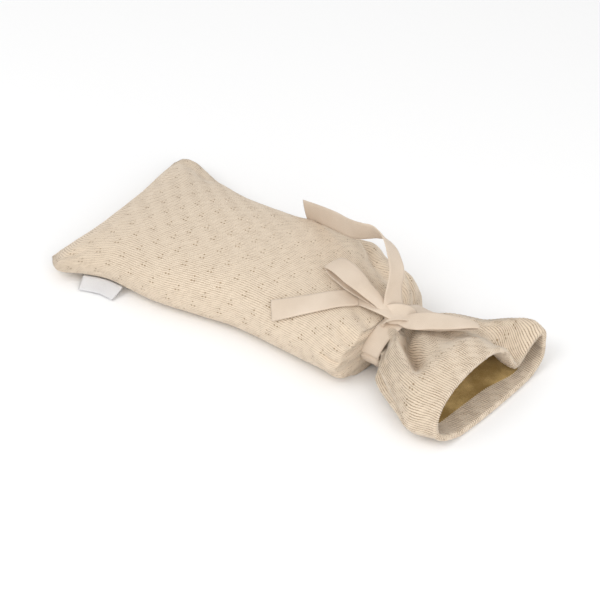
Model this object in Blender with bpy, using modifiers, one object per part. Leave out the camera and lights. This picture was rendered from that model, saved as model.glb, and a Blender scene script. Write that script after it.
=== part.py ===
"""Knitted hot water bottle cover, lying filled out on its back with its neck tied in a ribbon bow.

The cover is a long bag: +X runs from its closed end to its open mouth, -Y is its near side and the
surface it lies on is z = 0. Lengths in the tables are millimetres along that frame, measured from
the closed end. Meshes are made in metres, and at the end every piece is moved so that the middle of
the whole object's box stands over the origin.
"""

import math
from collections import namedtuple

import bmesh
import bpy
from mathutils import Matrix, Vector

MM = 0.001

# Driving sizes, in millimetres.
COVER_LENGTH = 350.0
KNIT_WALL = 2.5
HEM_WALL = 5.0
HEM_DEPTH = 15.0
HEM_ROLL = 1.6
HEM_EDGE = 0.7
HEM_STEP = 0.4
END_SEAM = 7.0
END_INSIDE = 5.0
LINING_WALL = 1.2
LINING_CLEARANCE = 0.9
LINING_END = 13.0
LINING_END_INSIDE = 3.0
LINING_FROM_HEM = 1.0
NECK_AT = 272.0
TAPE_WIDTH = 15.0
TAPE_THICKNESS = 1.2
CLEARANCE = 0.5
LABEL_THICKNESS = 1.2

# How loosely the lining lies in the bag, in the collar and at its sewn end.
LINING_LOOSE = 2.6
COLLAR_LOOSE = 1.0
LINING_END_LOOSE = 1.5

# Points round every ring of the bag, so that its layers lie one inside the other without crossing.
GIRTH_POINTS = 56

# The bag's sections. near and far are the places of its two sides, crown and under its highest and
# lowest, side is the height of the widest line, and flat how much the section tends to a slab.
Section = namedtuple("Section", "along near far crown side under flat")
SECTIONS = (
    Section(0, -74.5, 79.5, 13.5, 9, 5, 0.95),
    Section(3, -77, 86, 16, 10, 2.5, 0.92),
    Section(8, -81.5, 87, 21.5, 11, 0.5, 0.90),
    Section(16, -85, 85.5, 26, 12, -1, 0.88),
    Section(30, -77, 79, 31, 13, -3, 0.86),
    Section(55, -68, 67.5, 37, 14, -5, 0.84),
    Section(90, -67, 62, 41.5, 15, -6, 0.82),
    Section(130, -59.5, 63.5, 45, 16, -6, 0.82),
    Section(165, -53, 70.5, 47, 17, -6, 0.82),
    Section(195, -52.5, 70, 47.5, 18, -6, 0.82),
    Section(222, -52.5, 57.5, 47, 18, -5, 0.84),
    Section(242, -55, 55, 44.5, 18, -4, 0.86),
    Section(254, -56, 48, 43, 17, -3, 0.90),
    Section(261, -54, 39, 40, 17, -2, 0.93),
    Section(264.5, -30, 33.5, 37.5, 18.5, 3, 0.98),
    Section(NECK_AT, -25.5, 31.5, 36.5, 19, 5, 1.0),
    Section(280, -28, 33.5, 37, 18.5, 4, 0.98),
    Section(287, -41, 41, 38, 17.5, 1, 0.95),
    Section(298, -49.5, 48.5, 39, 16, -1, 0.92),
    Section(313, -58, 53.5, 40.5, 16, -2, 0.9),
    Section(332, -66, 71, 46, 14, -3, 0.9),
    Section(COVER_LENGTH, -61.5, 66.5, 43, 14, -3, 0.9),
)

# Folds pushed in (depth below zero) or out of the bag. Each runs straight from one place to
# another, a place being a length along the bag and a share of the way round it: 0 is the near
# side, 0.25 the top, 0.5 the far side and 0.75 underneath.
Fold = namedtuple("Fold", "name from_along from_girth to_along to_girth depth width")
FOLDS = (
    Fold("near pleat", 276, 0.168, 318, 0.125, 7.5, 7.5),
    Fold("slit beside the near pleat", 275, 0.10, 293, 0.094, -4.5, 4),
    Fold("deep valley", 280, 0.214, 314, 0.168, -14, 6),
    Fold("dent in the upper lip", 328, 0.335, 384, 0.42, -25, 17),
    Fold("far lip stands up", 338, 0.44, 370, 0.45, 9, 10),
    Fold("far shoulder crease", 188, 0.41, 244, 0.328, -6, 6),
    Fold("far shoulder bulge", 200, 0.45, 250, 0.42, 3, 14),
    Fold("near shoulder crease", 250, 0.135, 266, 0.12, -4, 4),
    Fold("top shoulder crease", 232, 0.25, 264, 0.235, -3, 6),
    Fold("underside crease", 236, 0.93, 266, 0.95, -4, 6),
    Fold("soft hollow at the far corner", 6, 0.43, 44, 0.41, -5, 12),
)

# A fold fades in and out past its ends, over these shares of its length.
FOLD_PAST_END = 0.35
FOLD_FADE = 0.6

# The closed end: its middle is drawn in and its far corner stands out past the near one.
END_DRAWN_IN = 8.0
END_SKEW = 6.0
END_SHIFT = -5.0
END_REACH = 70.0

# The mouth: the lower lip lies further out than the upper one, the far side than the near one.
LIP_LEAN = 6.0
LIP_SKEW = 2.4
LIP_REACH = 62.0

# Gathers of the tied neck, none under the ribbon and strongest a little to each side of it.
GATHERS = ((11, 0.0, 1.0), (7, 1.9, 0.7), (17, 0.6, 0.45))
GATHER_HEIGHT = 2.2
GATHER_REACH = 30.0
SHOULDER_REACH = 17.0
TIED_REACH = 11.0

# The ribbon sits a little askew round the neck: over its length the far side and the top are
# drawn towards the mouth.
NECK_LEAN = 1.5
NECK_SKEW = 4.5
NECK_REACH = 24.0

# Where the bag narrows to its neck, and over what lengths the inner layers turn in and back out.
SHOULDER_FROM = 236.0
SHOULDER_TO = 260.0
TURN_IN = 16.0
TURN_OUT = 12.0
SHOULDER_RUN = 25.0

# Rings of the bag: close together where it is gathered, wide apart where it is smooth. The lining
# has the same rings as the inside of the knit, so that the two lie one in the other.
OUTER_RINGS = (0, 3, 8, 16, 28, 44, 62, 82, 104, 126, 148, 168, 186, 202, 216, 228, 238, 246, 253,
               258, 261, 264.5, NECK_AT, 279.5, 285, 291, 298, 305, 312, 319, 326, 333, 340, 346)
HEM_RING_SHARES = (0.33, 0.67, 1.0)
INSIDE_RINGS = (28, 52, 84, 116, 148, 180, 205, 226, 240, 251, 258, 264.5, NECK_AT, 279.5, 285,
                291, 298, 305, 312, 319, 326, 331)

# Routes of the ribbon's tape: the middle of the tape and the way its width points.
Stop = namedtuple("Stop", "along across up width_along width_across width_up")
LEFT_LOOP = (
    Stop(270, -3, 45.5, 0.1, 1, 0.1),
    Stop(256, -5, 53, 0.1, 1, 0.08),
    Stop(246, -6.5, 58, 0.1, 1, 0.08),
    Stop(236, -4, 60.5, 0.08, 1, 0.08),
    Stop(227, -1, 61, 0, 1, 0.06),
    Stop(217, 2, 59.8, -0.12, 1, 0.03),
    Stop(210.5, 4.5, 57, -0.2, 1, 0.03),
    Stop(209.5, 6.5, 53.2, -0.2, 1, 0.03),
    Stop(215.5, 4, 50.8, -0.15, 1, 0),
    Stop(225, 0.5, 50, -0.05, 1, 0),
    Stop(238, -2.5, 49.4, 0.05, 1, 0),
    Stop(249, -4, 48.4, 0.1, 1, 0),
    Stop(269, -3, 43.5, 0.1, 1, 0),
)
RIGHT_LOOP = (
    Stop(272, -3, 44.5, 0.58, -0.78, -0.1),
    Stop(280, -2.5, 45.6, 0.58, -0.78, -0.2),
    Stop(287.5, -2, 46.4, 0.58, -0.78, -0.2),
    Stop(296, 2, 47.2, 0.58, -0.78, -0.2),
    Stop(304, 6.5, 48, 0.58, -0.78, -0.15),
    Stop(312, 11.5, 48, 0.57, -0.77, -0.1),
    Stop(319, 17, 47.8, 0.56, -0.76, -0.1),
    Stop(324.5, 21, 46.6, 0.56, -0.76, -0.1),
    Stop(325, 21.3, 44.6, 0.56, -0.76, -0.1),
    Stop(319, 17.5, 43.8, 0.56, -0.76, -0.1),
    Stop(309, 10.5, 43.8, 0.57, -0.77, -0.1),
    Stop(299, 4.5, 43.6, 0.58, -0.78, -0.1),
    Stop(287, -1.5, 42.6, 0.58, -0.78, -0.15),
    Stop(274, -3, 42, 0.58, -0.78, -0.1),
)
SHORT_TAIL = (
    Stop(271, -4.3, 42.7, 0.4, -1, -0.05),
    Stop(263, -5.5, 45.3, 0.5, -1, -0.1),
    Stop(255, -5, 46.2, 0.6, -1, -0.12),
    Stop(246, -3.8, 46, 0.7, -0.8, -0.13),
    Stop(239, -4.8, 44.6, 0.72, -0.7, -0.14),
    Stop(234.6, -12, 45.9, 0.73, -0.66, -0.17),
    Stop(229.6, -18.6, 46.6, 0.72, -0.68, -0.18),
    Stop(222.3, -27, 45.6, 0.67, -0.71, -0.24),
    Stop(211.6, -36.4, 42.6, 0.68, -0.67, -0.33),
    Stop(203, -42.3, 39.5, 0.69, -0.61, -0.42),
    Stop(194, -47, 35.8, 0.63, -0.55, -0.55),
)
LONG_TAIL = (
    Stop(273, -1, 43.5, 0.85, 0.6, 0),
    Stop(268, 1, 48.5, 0.85, 0.6, -0.05),
    Stop(264.5, 5, 57, 0.85, 0.6, -0.1),
    Stop(261.5, 10.5, 63.5, 0.85, 0.55, -0.15),
    Stop(258, 14.5, 68, 0.8, 0.55, -0.3),
    Stop(253, 18.5, 72.3, 0.65, 0.6, -0.5),
    Stop(246, 23.5, 76, 0.45, 0.65, -0.65),
    Stop(239, 27, 77.8, 0.3, 0.6, -0.75),
    Stop(232, 29, 77.8, 0.15, 0.5, -0.85),
    Stop(226, 29.6, 76.6, 0, 0.4, -0.95),
    Stop(219, 29.6, 74, -0.1, 0.3, -1),
    Stop(210, 31, 70, -0.15, 0.2, -1),
    Stop(199, 35, 64.8, -0.2, 0.15, -1),
    Stop(180, 44, 57, -0.2, 0.1, -1),
    Stop(159.5, 52, 49, -0.22, 0.1, -1),
    Stop(140, 58.5, 41.5, -0.25, 0.1, -1),
)
STEPS_A_STOP = 3

KNOT_AT = (273.1, -2.6, 43.5)
KNOT_SIZE = (20, 14, 12.6)
KNOT_TURN = 38.0
KNOT_SEGMENTS = 16
KNOT_RINGS = 10

# The label, sewn in the near side seam: the stretch of the seam that holds it, the seam's share of
# the way round, and how far the free edge stands out, along, across and above the surface.
LABEL_SEAM = (33, 65)
LABEL_GIRTH = 0.945
LABEL_FREE = (1.5, -12.5, 1.2)
LABEL_CUTS = 3

KNIT_COLOUR = (0.745, 0.623, 0.479)
LINING_COLOUR = (0.314, 0.186, 0.068)
TAPE_COLOUR = (0.786, 0.661, 0.521)
LABEL_COLOUR = (0.90, 0.90, 0.91)


def between(rows, at):
    """The values of a table's columns at one length, along smooth curves through its rows."""
    keys = [row[0] for row in rows]
    at = min(max(at, keys[0]), keys[-1])
    low = max(index for index in range(len(rows) - 1) if keys[index] <= at)
    span = keys[low + 1] - keys[low]
    share = (at - keys[low]) / span
    values = []
    for column in range(1, len(rows[0])):
        slope_in = slope_at(rows, keys, column, low) * span
        slope_out = slope_at(rows, keys, column, low + 1) * span
        first, last = rows[low][column], rows[low + 1][column]
        rise = share * share * (3 - 2 * share)
        lead = share * (1 - share) * (1 - share)
        trail = share * share * (share - 1)
        values.append(first + (last - first) * rise + slope_in * lead + slope_out * trail)
    return values


def slope_at(rows, keys, column, index):
    """The slope of a smooth curve at one row, level where the column turns back."""
    if index == 0 or index == len(rows) - 1:
        return 0.0
    before = (rows[index][column] - rows[index - 1][column]) / (keys[index] - keys[index - 1])
    after = (rows[index + 1][column] - rows[index][column]) / (keys[index + 1] - keys[index])
    if before * after <= 0:
        return 0.0
    return 2 * before * after / (before + after)


def ease(share):
    """A soft step from 0 to 1."""
    share = min(max(share, 0.0), 1.0)
    return share * share * (3 - 2 * share)


def power(value, exponent):
    """A signed power, which squares a circle off a little."""
    return math.copysign(abs(value) ** exponent, value)


def gather_height(along, girth):
    """How far the neck's gathers lift the cloth."""
    distance = along - NECK_AT
    reach = GATHER_REACH if distance > 0 else SHOULDER_REACH
    strength = math.exp(-(distance / reach) ** 2) - math.exp(-(distance / TIED_REACH) ** 2)
    angle = 2 * math.pi * girth
    wave = sum(size * math.cos(count * angle + phase) for count, phase, size in GATHERS)
    return GATHER_HEIGHT * strength * wave


def fold_height(along, girth, girth_length):
    """How far the folds in the table lift the cloth."""
    lift = 0.0
    for fold in FOLDS:
        length = fold.to_along - fold.from_along
        share = (along - fold.from_along) / length
        if not -FOLD_PAST_END < share < 1 + FOLD_PAST_END:
            continue
        middle = fold.from_girth + (fold.to_girth - fold.from_girth) * share
        away = (girth - middle + 0.5) % 1.0 - 0.5
        across = math.exp(-(away * girth_length / fold.width) ** 2)
        rising = ease((FOLD_PAST_END + share) / FOLD_FADE)
        falling = ease((FOLD_PAST_END + 1 - share) / FOLD_FADE)
        lift += fold.depth * across * rising * falling
    return lift


def bag_point(along, girth, depth=0.0):
    """A point of the bag, at a depth under its outer face."""
    near, far, crown, side, under, flat = between(SECTIONS, along + depth * shoulder_pull(along))
    angle = 2 * math.pi * girth
    cosine, sine = math.cos(angle), math.sin(angle)
    half = (far - near) / 2
    tall = crown - side if sine > 0 else side - under
    across = (far + near) / 2 - half * power(cosine, flat)
    up = side + tall * power(sine, flat)
    outward = Vector((-cosine / half, sine / tall))
    outward.normalize()
    girth_length = math.pi * (half + (crown - under) / 2)
    lift = fold_height(along, girth, girth_length) + gather_height(along, girth) - depth
    across += outward.x * lift
    up += outward.y * lift
    off_middle = across / half
    end_pull = ease(1 - along / END_REACH)
    shift = END_SHIFT + END_DRAWN_IN * (1 - min(off_middle ** 2, 1.0)) - END_SKEW * off_middle
    lip_pull = ease((along - COVER_LENGTH + LIP_REACH) / LIP_REACH)
    lean = -LIP_LEAN * sine - LIP_SKEW * cosine
    neck_pull = math.exp(-((along - NECK_AT) / NECK_REACH) ** 2)
    neck_lean = NECK_LEAN * sine - NECK_SKEW * cosine
    pulled = end_pull * shift + lip_pull * lean + neck_pull * neck_lean
    return Vector((along + pulled, across, max(up, depth)))


def shoulder_pull(along):
    """How far the inner layers turn in before the outer one where the bag narrows to its neck."""
    return ease((along - SHOULDER_FROM) / TURN_IN) - ease((along - SHOULDER_TO) / TURN_OUT)


def bag_ring(along, depth):
    return [bag_point(along, step / GIRTH_POINTS, depth) for step in range(GIRTH_POINTS)]


def loft(name, rings):
    """A closed skin through rings of like points, its first and last ring closed flat."""
    mesh = bmesh.new()
    rows = [[mesh.verts.new(point * MM) for point in ring] for ring in rings]
    count = len(rows[0])
    for lower, upper in zip(rows, rows[1:]):
        for step in range(count):
            after = (step + 1) % count
            mesh.faces.new((lower[step], lower[after], upper[after], upper[step]))
    for row in (rows[0], rows[-1]):
        mesh.faces.new((row[0], row[1], row[-1]))
        for step in range(1, count // 2 - 1):
            mesh.faces.new((row[step], row[step + 1], row[-step - 1], row[-step]))
        middle = count // 2
        mesh.faces.new((row[middle - 1], row[middle], row[middle + 1]))
    return finish(name, mesh)


def finish(name, mesh):
    """An object from a bmesh, its faces turned out."""
    bmesh.ops.recalc_face_normals(mesh, faces=mesh.faces)
    data = bpy.data.meshes.new(name)
    mesh.to_mesh(data)
    mesh.free()
    data.shade_smooth()
    return bpy.data.objects.new(name, data)


def knit_cover():
    """The bag: its outer face, the rolled edge of its mouth, the turned-in hem and its inside."""
    mouth = COVER_LENGTH
    rings = [bag_ring(along, 0.0) for along in OUTER_RINGS]
    rings.append(bag_ring(mouth, HEM_EDGE))
    rings.append(bag_ring(mouth + HEM_ROLL, HEM_WALL / 2))
    rings.append(bag_ring(mouth, HEM_WALL - HEM_EDGE))
    rings.extend(bag_ring(mouth - HEM_DEPTH * share, HEM_WALL) for share in HEM_RING_SHARES)
    rings.append(bag_ring(mouth - HEM_DEPTH - HEM_STEP, KNIT_WALL))
    rings.extend(bag_ring(along, KNIT_WALL) for along in reversed(INSIDE_RINGS))
    rings.extend(bag_ring(along, KNIT_WALL) for along in (END_SEAM + END_INSIDE, END_SEAM))
    return loft("knit_cover", rings)


def lining_depth(along):
    """The lining's depth: loose in the bag, drawn close to the knit at the neck and at the hem."""
    in_bag = 1 - ease((along - SHOULDER_FROM) / SHOULDER_RUN)
    in_collar = ease((along - NECK_AT) / TURN_IN) * ease((mouth_of_lining() - along) / TURN_OUT)
    at_end = ease(2 - along / LINING_END)
    loose = LINING_LOOSE * in_bag + COLLAR_LOOSE * in_collar + LINING_END_LOOSE * at_end
    return KNIT_WALL + LINING_CLEARANCE + loose


def mouth_of_lining():
    return COVER_LENGTH - HEM_DEPTH - LINING_FROM_HEM


def lining():
    """The lining: a plain inner bag that ends at the edge of the hem."""
    outer = [LINING_END, *INSIDE_RINGS, mouth_of_lining()]
    rings = [bag_ring(along, lining_depth(along)) for along in outer]
    inner = [LINING_END + LINING_END_INSIDE, *outer[1:]]
    rings.extend(bag_ring(along, lining_depth(along) + LINING_WALL) for along in reversed(inner))
    return loft("lining", rings)


def smooth_route(stops):
    """Points along a tape's route, each with the way its width points."""
    route = []
    for index in range(len(stops) - 1):
        around = [stops[min(max(index + offset, 0), len(stops) - 1)] for offset in (-1, 0, 1, 2)]
        before, first, last, after = (Vector(stop) for stop in zip(*zip(*around)))
        steps = STEPS_A_STOP + (index == len(stops) - 2)
        for step in range(steps):
            share = step / STEPS_A_STOP
            route.append(0.5 * (2 * first + (last - before) * share
                                + (2 * before - 5 * first + 4 * last - after) * share ** 2
                                + (3 * first - before - 3 * last + after) * share ** 3))
    return route


def tape(name, stops):
    """A length of the ribbon's tape: a flat strip along its route, given the tape's thickness."""
    mesh = bmesh.new()
    rows = []
    for place in smooth_route(stops):
        middle = Vector(place[:3])
        width = Vector(place[3:]).normalized() * TAPE_WIDTH / 2
        rows.append([mesh.verts.new((middle + width * side) * MM) for side in (-1, 1)])
    for (left, right), (next_left, next_right) in zip(rows, rows[1:]):
        mesh.faces.new((left, right, next_right, next_left))
    return thicken(finish(name, mesh), TAPE_THICKNESS)


def thicken(strip, thickness):
    """The same strip with a Solidify modifier that gives it its thickness to both sides."""
    solid = strip.modifiers.new("thickness", 'SOLIDIFY')
    solid.thickness = thickness * MM
    solid.offset = 0.0
    return strip


def neck_band(name):
    """The tape round the neck, closed on itself under the knot."""
    mesh = bmesh.new()
    clear = CLEARANCE + TAPE_THICKNESS / 2
    rows = []
    for across in (-0.5, 0.0, 0.5):
        along = NECK_AT + across * TAPE_WIDTH
        rows.append([mesh.verts.new(point * MM) for point in bag_ring(along, -clear)])
    for lower, upper in zip(rows, rows[1:]):
        for step in range(GIRTH_POINTS):
            after = (step + 1) % GIRTH_POINTS
            mesh.faces.new((lower[step], lower[after], upper[after], upper[step]))
    return thicken(finish(name, mesh), TAPE_THICKNESS)


def knot(name):
    """The pulled knot: a small flattened bundle that every length of tape runs into."""
    mesh = bmesh.new()
    bmesh.ops.create_uvsphere(mesh, u_segments=KNOT_SEGMENTS, v_segments=KNOT_RINGS, radius=0.5)
    size = Matrix.Diagonal(Vector(KNOT_SIZE) * MM).to_4x4()
    turn = Matrix.Rotation(math.radians(KNOT_TURN), 4, 'Z')
    place = Matrix.Translation(Vector(KNOT_AT) * MM)
    bmesh.ops.transform(mesh, matrix=place @ turn @ size, verts=mesh.verts)
    return finish(name, mesh)


def ribbon_tie(guides):
    """The ribbon: one tape round the neck, knotted, with its two loops and two free tails."""
    ribbon = neck_band("ribbon_tie")
    lengths = [
        knot("knot"),
        tape("left loop", LEFT_LOOP),
        tape("right loop", RIGHT_LOOP),
        tape("short tail", SHORT_TAIL),
        tape("long tail", LONG_TAIL),
    ]
    for length in lengths:
        guides.objects.link(length)
        length.hide_render = True
        length.display_type = 'WIRE'
        union = ribbon.modifiers.new(length.name, 'BOOLEAN')
        union.operation = 'UNION'
        union.solver = 'EXACT'
        union.object = length
    return ribbon


def label():
    """The bare woven label, a folded tab that leans from the near side seam to the surface."""
    mesh = bmesh.new()
    clear = CLEARANCE + LABEL_THICKNESS / 2
    along_by, across_by, free_height = LABEL_FREE
    seam = [bag_point(along, LABEL_GIRTH, -clear) for along in LABEL_SEAM]
    free = [Vector((point.x + along_by, point.y + across_by, free_height)) for point in seam]
    corners = (*seam, *reversed(free))
    face = mesh.faces.new([mesh.verts.new(point * MM) for point in corners])
    bmesh.ops.subdivide_edges(mesh, edges=face.edges[:], cuts=LABEL_CUTS, use_grid_fill=True)
    return thicken(finish("label", mesh), LABEL_THICKNESS)


def material(name, colour, roughness):
    made = bpy.data.materials.new(name)
    made.use_nodes = True
    shader = made.node_tree.nodes["Principled BSDF"]
    shader.inputs["Base Color"].default_value = (*colour, 1.0)
    shader.inputs["Roughness"].default_value = roughness
    shader.inputs["Metallic"].default_value = 0.0
    return made


def centre_on_origin(pieces, guides):
    """Move all of it so that the middle of the pieces' common box stands over the origin."""
    shown = bpy.context.evaluated_depsgraph_get()
    points = [vertex.co for piece in pieces for vertex in piece.evaluated_get(shown).data.vertices]
    middle_x = (min(point.x for point in points) + max(point.x for point in points)) / 2
    middle_y = (min(point.y for point in points) + max(point.y for point in points)) / 2
    for thing in (*pieces, *guides):
        thing.data.transform(Matrix.Translation((-middle_x, -middle_y, 0.0)))


def build():
    for thing in list(bpy.data.objects):
        bpy.data.objects.remove(thing)
    parts = bpy.data.collections.new("hot_water_bottle_cover")
    guides = bpy.data.collections.new("ribbon lengths")
    for collection in (parts, guides):
        bpy.context.scene.collection.children.link(collection)
    pieces = {
        knit_cover(): material("knit", KNIT_COLOUR, 0.95),
        lining(): material("lining cloth", LINING_COLOUR, 0.9),
        ribbon_tie(guides): material("cotton tape", TAPE_COLOUR, 0.8),
        label(): material("woven label", LABEL_COLOUR, 0.6),
    }
    for piece, cloth in pieces.items():
        parts.objects.link(piece)
        piece.data.materials.append(cloth)
    centre_on_origin(pieces, guides.objects)


build()
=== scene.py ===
"""A knitted hot water bottle cover lying filled out on its back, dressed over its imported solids.

Tables and sizes are millimetres: along the bag from its closed end, across it, and up from the
surface. A girth is a share of the way round: 0 the near side, 0.25 the top, 0.5 the far side.
"""

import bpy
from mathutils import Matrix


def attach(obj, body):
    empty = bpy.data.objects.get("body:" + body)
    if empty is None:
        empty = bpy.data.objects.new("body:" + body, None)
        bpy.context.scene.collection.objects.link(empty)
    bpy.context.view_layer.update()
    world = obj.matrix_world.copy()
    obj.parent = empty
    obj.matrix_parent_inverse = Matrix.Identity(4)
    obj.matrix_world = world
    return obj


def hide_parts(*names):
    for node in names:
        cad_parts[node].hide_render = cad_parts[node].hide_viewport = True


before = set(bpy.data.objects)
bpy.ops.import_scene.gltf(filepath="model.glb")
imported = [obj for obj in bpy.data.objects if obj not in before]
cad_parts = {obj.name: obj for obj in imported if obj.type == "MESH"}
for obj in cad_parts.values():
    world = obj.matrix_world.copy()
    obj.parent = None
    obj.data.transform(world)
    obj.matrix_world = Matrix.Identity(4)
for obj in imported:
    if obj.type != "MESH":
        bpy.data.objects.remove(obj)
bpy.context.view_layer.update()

import math
from collections import namedtuple

import bmesh
import bpy
import numpy as np
from mathutils import Vector

MM = 0.001

# ---- Front of the bag ----
# The upper half of the cover's body: one panel of fine cotton knit, plain stitches with small
# eyelet motifs, seamed to the back panel at both sides and at the closed end.

COVER_LENGTH = 350.0
NECK_AT = 272.0
# The place along and across the bag that lies over the frame's origin.
ORIGIN = (173.4368, 0.9165)

# Sections: place along, near and far edge, crown, side seam, underside, and the corners' power.
SECTIONS = np.array((
    (0, -74.5, 79.5, 13.5, 9, 5, 0.95),
    (3, -77, 86, 16, 10, 2.5, 0.92),
    (8, -81.5, 87, 21.5, 11, 0.5, 0.90),
    (16, -85, 85.5, 26, 12, -1, 0.88),
    (30, -77, 79, 31, 13, -3, 0.86),
    (55, -68, 67.5, 37, 14, -5, 0.84),
    (90, -67, 62, 41.5, 15, -6, 0.82),
    (130, -59.5, 63.5, 45, 16, -6, 0.82),
    (165, -53, 70.5, 47, 17, -6, 0.82),
    (195, -52.5, 70, 47.5, 18, -6, 0.82),
    (222, -52.5, 57.5, 47, 18, -5, 0.84),
    (242, -55, 55, 44.5, 18, -4, 0.86),
    (254, -56, 48, 43, 17, -3, 0.90),
    (261, -54, 39, 40, 17, -2, 0.93),
    (264.5, -30, 33.5, 37.5, 18.5, 3, 0.98),
    (NECK_AT, -25.5, 31.5, 36.5, 19, 5, 1.0),
    (280, -28, 33.5, 37, 18.5, 4, 0.98),
    (287, -41, 41, 38, 17.5, 1, 0.95),
    (298, -49.5, 48.5, 39, 16, -1, 0.92),
    (313, -58, 53.5, 40.5, 16, -2, 0.9),
    (332, -66, 71, 46, 14, -3, 0.9),
    (COVER_LENGTH, -61.5, 66.5, 43, 14, -3, 0.9),
))

# Folds pressed in (depth below zero) or standing out, each straight from one place to another.
Fold = namedtuple("Fold", "name from_along from_girth to_along to_girth depth width")
FOLDS = (
    Fold("near pleat", 276, 0.168, 318, 0.125, 7.5, 7.5),
    Fold("slit beside the near pleat", 275, 0.10, 293, 0.094, -4.5, 4),
    Fold("deep valley", 280, 0.214, 314, 0.168, -14, 6),
    Fold("dent in the upper lip", 328, 0.335, 384, 0.42, -25, 17),
    Fold("far lip stands up", 338, 0.44, 370, 0.45, 9, 10),
    Fold("far shoulder crease", 188, 0.41, 244, 0.328, -6, 6),
    Fold("far shoulder bulge", 200, 0.45, 250, 0.42, 3, 14),
    Fold("near shoulder crease", 250, 0.135, 266, 0.12, -4, 4),
    Fold("top shoulder crease", 232, 0.25, 264, 0.235, -3, 6),
    Fold("underside crease", 236, 0.93, 266, 0.95, -4, 6),
    Fold("soft hollow at the far corner", 6, 0.43, 44, 0.41, -5, 12),
)
FOLD_PAST_END = 0.35
FOLD_FADE = 0.6

# The closed end is drawn in and shifted, the lip and the tied neck lean, and gathers spread from
# the tie, each wave of them a count round the girth, a phase and a size.
END_DRAWN_IN = 8.0
END_SKEW = 6.0
END_SHIFT = -5.0
END_REACH = 70.0
LIP_LEAN = 6.0
LIP_SKEW = 2.4
LIP_REACH = 62.0
NECK_LEAN = 1.5
NECK_SKEW = 4.5
NECK_REACH = 24.0
GATHERS = ((11, 0.0, 1.0), (7, 1.9, 0.7), (17, 0.6, 0.45))
GATHER_HEIGHT = 2.2
GATHER_REACH = 30.0
SHOULDER_REACH = 17.0
TIED_REACH = 11.0
SHOULDER_FROM = 236.0
SHOULDER_TO = 260.0
TURN_IN = 16.0
TURN_OUT = 12.0


def ease(share):
    """A soft step from 0 to 1."""
    share = np.clip(share, 0.0, 1.0)
    return share * share * (3 - 2 * share)


def row_slopes(table):
    """Slopes of smooth curves through a table's columns, level where a column turns back."""
    rise = np.diff(table[:, 1:], axis=0) / np.diff(table[:, 0])[:, None]
    before, after = rise[:-1], rise[1:]
    same_way = before * after > 0
    mean = 2 * before * after / np.where(same_way, before + after, 1.0)
    slopes = np.zeros((len(table), table.shape[1] - 1))
    slopes[1:-1] = np.where(same_way, mean, 0.0)
    return slopes


SLOPES = row_slopes(SECTIONS)


def between(along):
    """The section's columns at each length along the bag."""
    keys = SECTIONS[:, 0]
    along = np.clip(along, keys[0], keys[-1])
    low = np.clip(np.searchsorted(keys, along, side="right") - 1, 0, len(keys) - 2)
    span = keys[low + 1] - keys[low]
    share = ((along - keys[low]) / span)[..., None]
    span = span[..., None]
    first, last = SECTIONS[low, 1:], SECTIONS[low + 1, 1:]
    rise = share * share * (3 - 2 * share)
    lead = share * (1 - share) ** 2 * span
    trail = share * share * (share - 1) * span
    values = first + (last - first) * rise + SLOPES[low] * lead + SLOPES[low + 1] * trail
    return np.moveaxis(values, -1, 0)


def power(value, exponent):
    """A power that keeps the sign of its value."""
    return np.copysign(np.abs(value) ** exponent, value)


def shoulder_pull(along):
    """The share of its depth by which a deeper layer looks further along, at the shoulders."""
    return ease((along - SHOULDER_FROM) / TURN_IN) - ease((along - SHOULDER_TO) / TURN_OUT)


def gather_height(along, girth):
    """The height of the gathers beside the tie, flat under it."""
    distance = along - NECK_AT
    reach = np.where(distance > 0, GATHER_REACH, SHOULDER_REACH)
    strength = np.exp(-(distance / reach) ** 2) - np.exp(-(distance / TIED_REACH) ** 2)
    angle = 2 * math.pi * girth
    wave = sum(size * np.cos(count * angle + phase) for count, phase, size in GATHERS)
    return GATHER_HEIGHT * strength * wave


def fold_height(folds, along, girth, girth_length):
    """The height of all the folds together, each faded out past both of its ends."""
    lift = np.zeros(np.broadcast(along, girth).shape)
    for fold in folds:
        share = (along - fold.from_along) / (fold.to_along - fold.from_along)
        middle = fold.from_girth + (fold.to_girth - fold.from_girth) * share
        away = (girth - middle + 0.5) % 1.0 - 0.5
        across = np.exp(-(away * girth_length / fold.width) ** 2)
        rising = ease((FOLD_PAST_END + share) / FOLD_FADE)
        falling = ease((FOLD_PAST_END + 1 - share) / FOLD_FADE)
        lift = lift + fold.depth * across * rising * falling
    return lift


def round_section(near, far, crown, side, under, girth):
    """Cosine, sine, half width and height of a section at a girth, and which way is out."""
    angle = 2 * math.pi * girth
    cosine, sine = np.cos(angle), np.sin(angle)
    half = (far - near) / 2
    tall = np.where(sine > 0, crown - side, side - under)
    out = np.stack([-cosine / half, sine / tall])
    return cosine, sine, half, tall, out / np.hypot(*out)


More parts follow.
